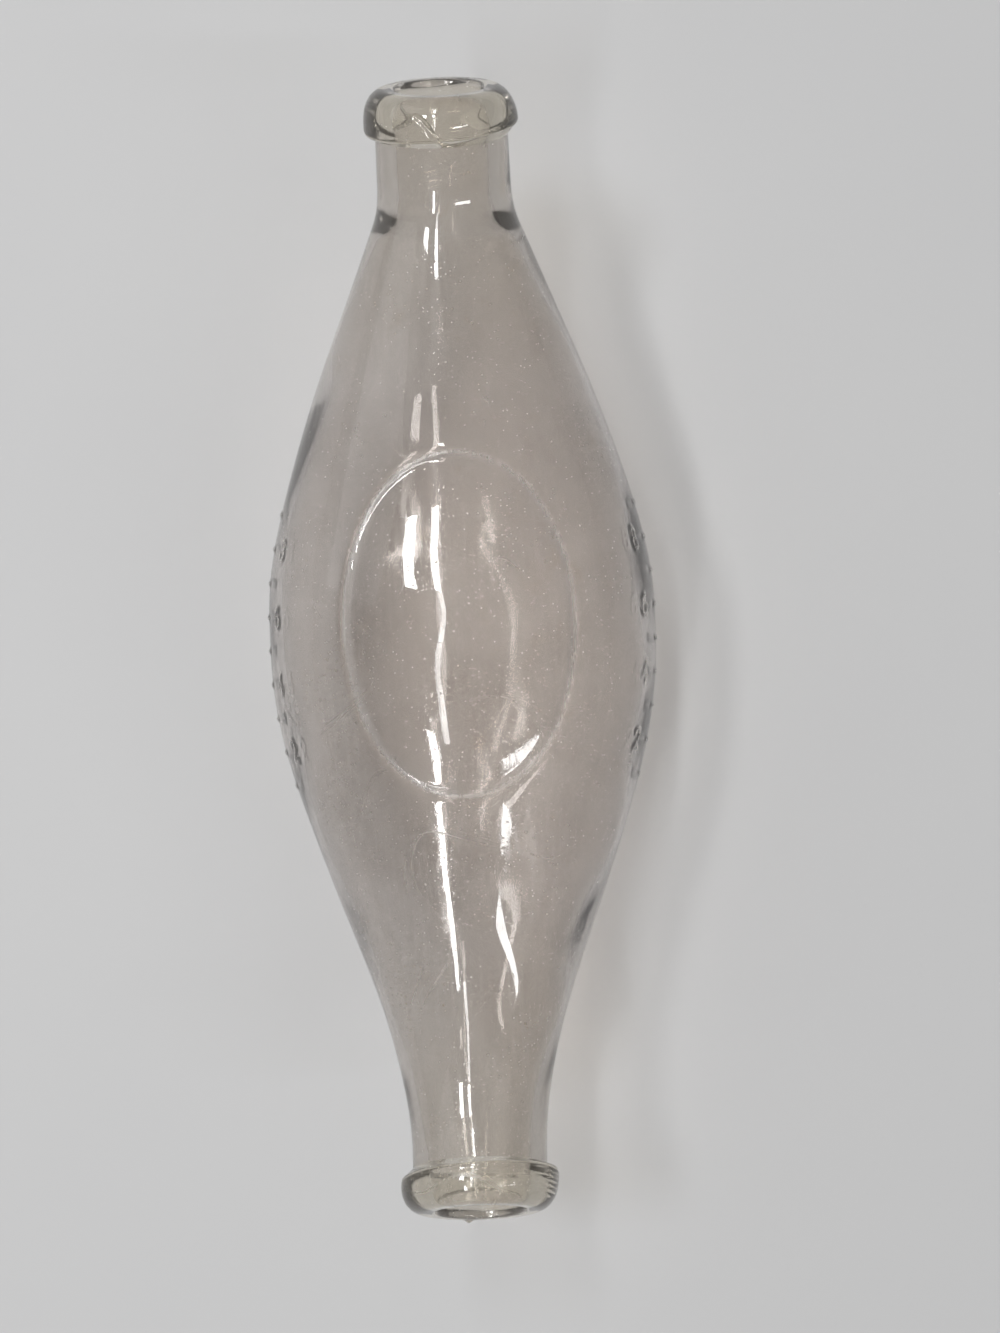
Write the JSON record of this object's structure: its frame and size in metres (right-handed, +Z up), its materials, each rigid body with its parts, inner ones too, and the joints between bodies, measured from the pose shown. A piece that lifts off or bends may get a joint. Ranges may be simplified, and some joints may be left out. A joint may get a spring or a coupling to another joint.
{
  "type": "baby feeding bottle",
  "caption": "Boat-shaped, double-ended clear glass baby feeding bottle, hollow and open at both raised necks, with a rolled lip ring on each neck and a flat under the belly to rest on.",
  "frame": {"origin": "on the table under the belly, at the middle of the bottle's length and width", "axes": "+Z up from the table, +Y along the bottle towards the teat end, +X to the right when seen from above with the teat end at the top"},
  "size_m": [0.0698, 0.196, 0.0661],
  "materials": {
    "body_glass": "clear blown glass, faintly mauve, dusty inside",
    "teat_lip_glass": "thick clear glass, faintly olive",
    "valve_lip_glass": "thick clear glass, faintly olive"
  },
  "bodies": {
    "root": {"glass_body": "body_glass", "teat_end_lip": "teat_lip_glass", "valve_end_lip": "valve_lip_glass"}
  },
  "joints": []
}
